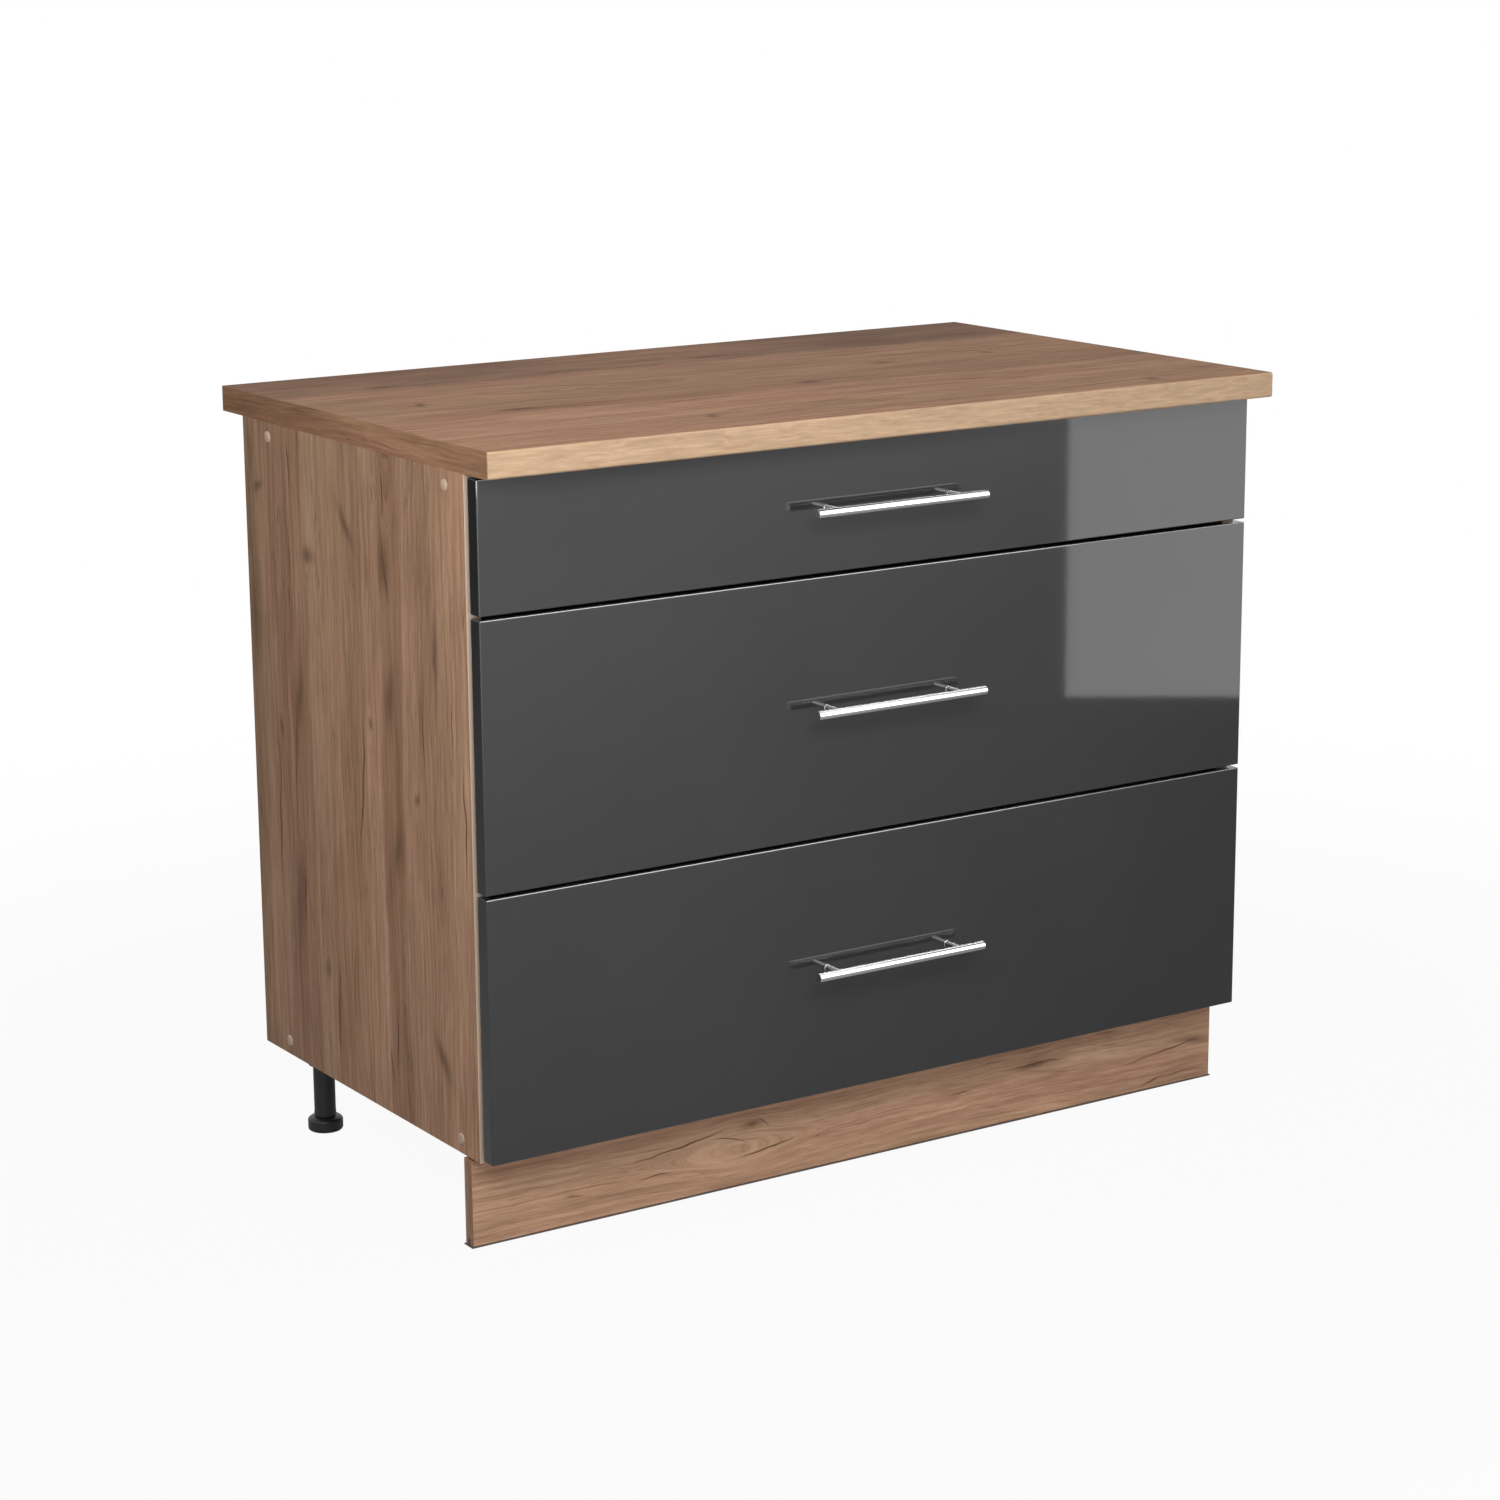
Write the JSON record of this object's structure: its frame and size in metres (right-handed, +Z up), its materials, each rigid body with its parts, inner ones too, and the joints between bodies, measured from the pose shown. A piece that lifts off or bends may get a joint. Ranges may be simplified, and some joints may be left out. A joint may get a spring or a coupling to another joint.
{
  "type": "base cabinet with drawers",
  "caption": "Kitchen base cabinet with gloss-fronted drawers on roller runners, bar handles, oak-look carcass and worktop, levelling feet and a clipped plinth.",
  "frame": {"origin": "on the floor under the middle of the object's bounding box", "axes": "+Z up, the drawer fronts face -Y and the drawers open that way, +X to the right for someone facing the fronts"},
  "size_m": [1.012, 0.605, 0.848],
  "materials": {
    "oak_board": "chipboard faced with oak-look melamine, matt, fine pores",
    "oak_plinth": "chipboard faced with oak-look melamine, grain along its length",
    "oak_worktop": "chipboard with oak-look laminate, grain along its length, rounded front edge",
    "oak_band": "oak-look plastic edge band, satin",
    "white_hardboard": "white lacquered hardboard, matt",
    "gloss_front": "fibreboard with anthracite high-gloss foil",
    "drawer_board": "light grey melamine-faced chipboard",
    "runner_steel": "grey powder-coated folded steel",
    "grey_plastic": "moulded grey plastic",
    "roller_plastic": "moulded white plastic, smooth",
    "black_plastic": "moulded black plastic, fine texture",
    "seal_plastic": "soft dark brown plastic",
    "cap_plastic": "moulded beige plastic",
    "chrome": "polished chrome",
    "zinc_steel": "bright zinc-plated steel"
  },
  "bodies": {
    "cabinet": {"back_panel": "white_hardboard", "bottom_panel": "oak_board", "carcass_screws": "zinc_steel", "edge_bands": "oak_band", "front_rail": "oak_board", "hardware_screws": "zinc_steel", "leg_sockets": "black_plastic", "leg_tubes": "black_plastic", "plinth": "oak_plinth", "plinth_clips": "black_plastic", "plinth_seal": "seal_plastic", "rear_rail": "oak_board", "roller_axles": "zinc_steel", "runner_screws": "zinc_steel", "runners_bottom": "runner_steel", "runners_middle": "runner_steel", "runners_top": "runner_steel", "screw_caps": "cap_plastic", "side_panel_left": "oak_board", "side_panel_right": "oak_board", "worktop": "oak_worktop", "worktop_brackets": "zinc_steel"},
    "top_drawer": {"top_drawer_back": "drawer_board", "top_drawer_bottom": "drawer_board", "top_drawer_fixings": "zinc_steel", "top_drawer_front": "gloss_front", "top_drawer_handle_bar": "chrome", "top_drawer_handle_posts": "chrome", "top_drawer_side_left": "runner_steel", "top_drawer_side_right": "runner_steel"},
    "runner_rollers_top": {"runner_rollers_top": "roller_plastic"},
    "drawer_rollers_top": {"drawer_rollers_top": "roller_plastic"},
    "middle_drawer": {"middle_drawer_back": "drawer_board", "middle_drawer_bottom": "drawer_board", "middle_drawer_fixings": "zinc_steel", "middle_drawer_front": "gloss_front", "middle_drawer_handle_bar": "chrome", "middle_drawer_handle_posts": "chrome", "middle_drawer_rail_sockets": "grey_plastic", "middle_drawer_side_left": "runner_steel", "middle_drawer_side_rails": "runner_steel", "middle_drawer_side_right": "runner_steel"},
    "runner_rollers_middle": {"runner_rollers_middle": "roller_plastic"},
    "drawer_rollers_middle": {"drawer_rollers_middle": "roller_plastic"},
    "bottom_drawer": {"bottom_drawer_back": "drawer_board", "bottom_drawer_bottom": "drawer_board", "bottom_drawer_fixings": "zinc_steel", "bottom_drawer_front": "gloss_front", "bottom_drawer_handle_bar": "chrome", "bottom_drawer_handle_posts": "chrome", "bottom_drawer_rail_sockets": "grey_plastic", "bottom_drawer_side_left": "runner_steel", "bottom_drawer_side_rails": "runner_steel", "bottom_drawer_side_right": "runner_steel"},
    "runner_rollers_bottom": {"runner_rollers_bottom": "roller_plastic"},
    "drawer_rollers_bottom": {"drawer_rollers_bottom": "roller_plastic"},
    "foot_front_left": {"foot_front_left": "black_plastic"},
    "foot_front_right": {"foot_front_right": "black_plastic"},
    "foot_rear_left": {"foot_rear_left": "black_plastic"},
    "foot_rear_right": {"foot_rear_right": "black_plastic"}
  },
  "joints": [
    {"name": "top_drawer_slide", "type": "slide", "parent": "cabinet", "child": "top_drawer", "axis": [0, -1, 0], "range_m": [0, 0.34]},
    {"name": "runner_rollers_top_spin", "type": "hinge", "parent": "cabinet", "child": "runner_rollers_top", "pos_m": [-0.004, -0.2315, 0.715], "axis": [1, 0, 0], "continuous": true},
    {"name": "drawer_rollers_top_spin", "type": "hinge", "parent": "top_drawer", "child": "drawer_rollers_top", "pos_m": [-0.004, 0.1845, 0.715], "axis": [1, 0, 0], "continuous": true},
    {"name": "middle_drawer_slide", "type": "slide", "parent": "cabinet", "child": "middle_drawer", "axis": [0, -1, 0], "range_m": [0, 0.34]},
    {"name": "runner_rollers_middle_spin", "type": "hinge", "parent": "cabinet", "child": "runner_rollers_middle", "pos_m": [-0.004, -0.2315, 0.427], "axis": [1, 0, 0], "continuous": true},
    {"name": "drawer_rollers_middle_spin", "type": "hinge", "parent": "middle_drawer", "child": "drawer_rollers_middle", "pos_m": [-0.004, 0.1845, 0.427], "axis": [1, 0, 0], "continuous": true},
    {"name": "bottom_drawer_slide", "type": "slide", "parent": "cabinet", "child": "bottom_drawer", "axis": [0, -1, 0], "range_m": [0, 0.34]},
    {"name": "runner_rollers_bottom_spin", "type": "hinge", "parent": "cabinet", "child": "runner_rollers_bottom", "pos_m": [-0.004, -0.2315, 0.139], "axis": [1, 0, 0], "continuous": true},
    {"name": "drawer_rollers_bottom_spin", "type": "hinge", "parent": "bottom_drawer", "child": "drawer_rollers_bottom", "pos_m": [-0.004, 0.1845, 0.139], "axis": [1, 0, 0], "continuous": true},
    {"name": "foot_front_left_height", "type": "slide", "parent": "cabinet", "child": "foot_front_left", "axis": [0, 0, -1], "range_m": [0, 0.02]},
    {"name": "foot_front_right_height", "type": "slide", "parent": "cabinet", "child": "foot_front_right", "axis": [0, 0, -1], "range_m": [0, 0.02]},
    {"name": "foot_rear_left_height", "type": "slide", "parent": "cabinet", "child": "foot_rear_left", "axis": [0, 0, -1], "range_m": [0, 0.02]},
    {"name": "foot_rear_right_height", "type": "slide", "parent": "cabinet", "child": "foot_rear_right", "axis": [0, 0, -1], "range_m": [0, 0.02]}
  ],
  "couplings": [
    {"joint": "runner_rollers_top_spin", "follows": "top_drawer_slide", "rad_per_m": 95.238},
    {"joint": "drawer_rollers_top_spin", "follows": "top_drawer_slide", "rad_per_m": 95.238},
    {"joint": "runner_rollers_middle_spin", "follows": "middle_drawer_slide", "rad_per_m": 95.238},
    {"joint": "drawer_rollers_middle_spin", "follows": "middle_drawer_slide", "rad_per_m": 95.238},
    {"joint": "runner_rollers_bottom_spin", "follows": "bottom_drawer_slide", "rad_per_m": 95.238},
    {"joint": "drawer_rollers_bottom_spin", "follows": "bottom_drawer_slide", "rad_per_m": 95.238}
  ]
}
